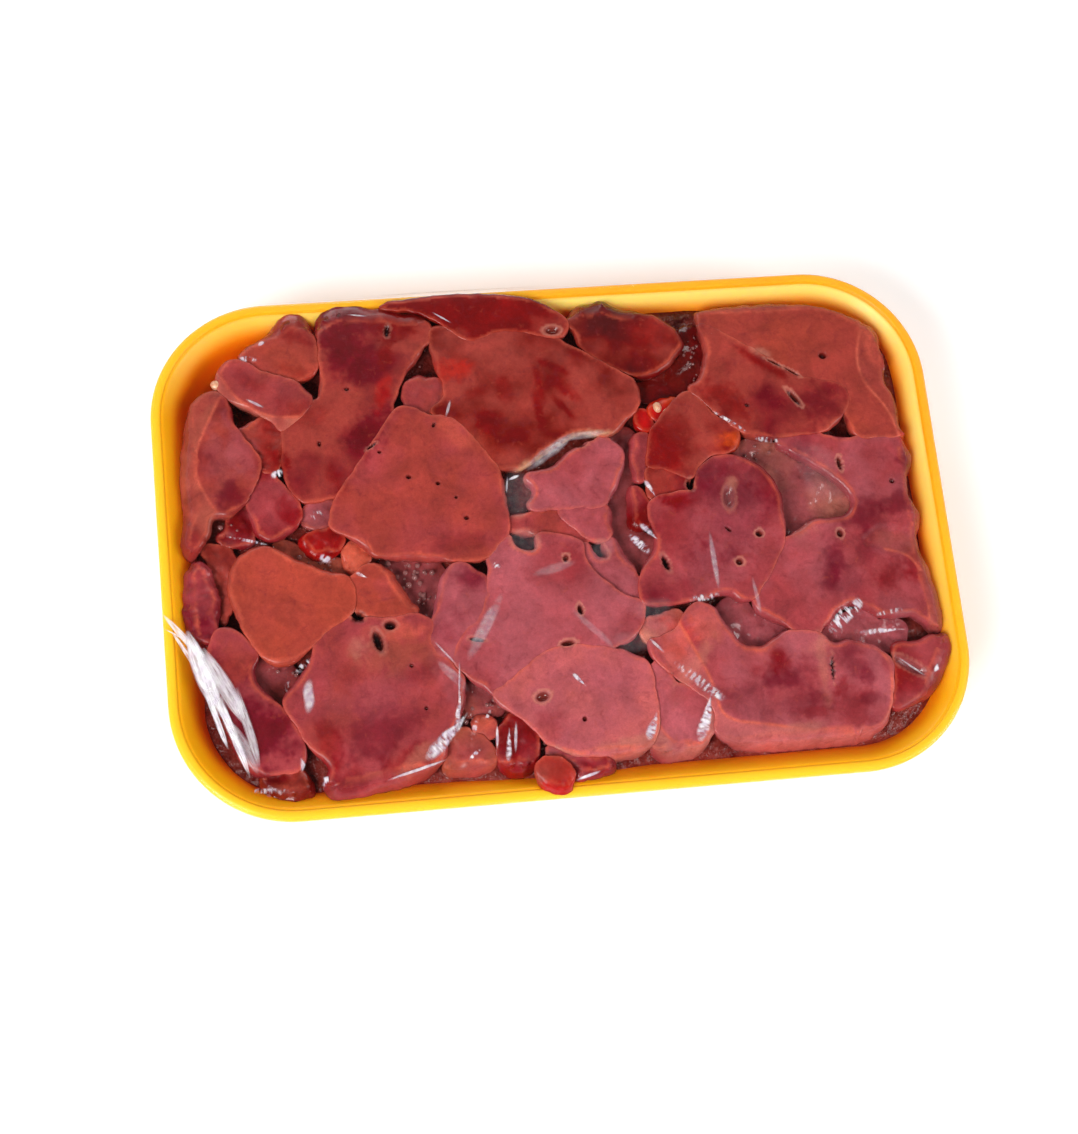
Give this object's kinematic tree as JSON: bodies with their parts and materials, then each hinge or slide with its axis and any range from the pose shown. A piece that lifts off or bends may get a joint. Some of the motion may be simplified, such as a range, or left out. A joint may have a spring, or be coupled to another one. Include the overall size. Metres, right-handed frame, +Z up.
{
  "type": "chicken liver tray pack",
  "caption": "Shallow foam tray with a raised rim, filled with raw chicken livers that are pressed flat under a taut clear wrap.",
  "frame": {"origin": "centre of the pack's footprint, at the underside of the wrap that it stands on", "axes": "+X along the tray's long side, +Y along its short side, +Z up out of the tray"},
  "size_m": [0.2266, 0.1516, 0.0347],
  "materials": {
    "foam_tray": "smooth yellow-orange expanded polystyrene foam, slightly glossy, with a fine cell texture",
    "clear_film": "thin clear stretch film, glossy, with fine creases and bright glints",
    "liver": "raw liver, wet brick-red to purple with orange lobes, fine mottling and vein holes",
    "liver_deep": "raw liver in the shade of the gaps, dark brown-red, wet with juice and small bubbles"
  },
  "bodies": {
    "root": {"film": "clear_film", "liver_bed": "liver_deep", "liver_bright_bead": "liver", "liver_bright_shred": "liver", "liver_far_knob": "liver", "liver_far_left_dark": "liver", "liver_far_left_slant": "liver", "liver_far_left_small": "liver", "liver_far_middle": "liver", "liver_far_middle_dark": "liver", "liver_far_right": "liver", "liver_far_right_inner": "liver", "liver_left": "liver", "liver_left_bright": "liver", "liver_left_edge": "liver", "liver_left_grey": "liver", "liver_left_knob": "liver", "liver_left_lilac": "liver", "liver_left_round": "liver", "liver_left_tag": "liver", "liver_left_under": "liver", "liver_left_wet": "liver", "liver_middle_broad": "liver", "liver_middle_lens": "liver", "liver_middle_lilac": "liver", "liver_middle_lilac_small": "liver", "liver_middle_pale": "liver", "liver_middle_right": "liver", "liver_middle_wedge": "liver", "liver_near_dark": "liver", "liver_near_left_broad": "liver", "liver_near_left_edge": "liver", "liver_near_left_scrap": "liver", "liver_near_middle": "liver", "liver_near_narrow": "liver", "liver_near_red": "liver", "liver_near_right": "liver", "liver_near_right_corner": "liver", "liver_near_strip": "liver", "liver_near_tan": "liver", "liver_orange": "liver", "liver_orange_small": "liver", "liver_orange_tip": "liver", "liver_orange_tip_small": "liver", "liver_over_far_rim": "liver", "liver_over_near_rim": "liver", "liver_right": "liver", "liver_sliver_far": "liver", "liver_sliver_near": "liver", "liver_small_bridge": "liver", "tray": "foam_tray", "under_far_right": "liver_deep", "under_left": "liver_deep", "under_left_middle": "liver_deep", "under_middle": "liver_deep", "under_near_left": "liver_deep", "under_near_middle": "liver_deep", "under_near_right": "liver_deep", "under_right": "liver_deep", "under_right_corner": "liver_deep"}
  },
  "joints": []
}
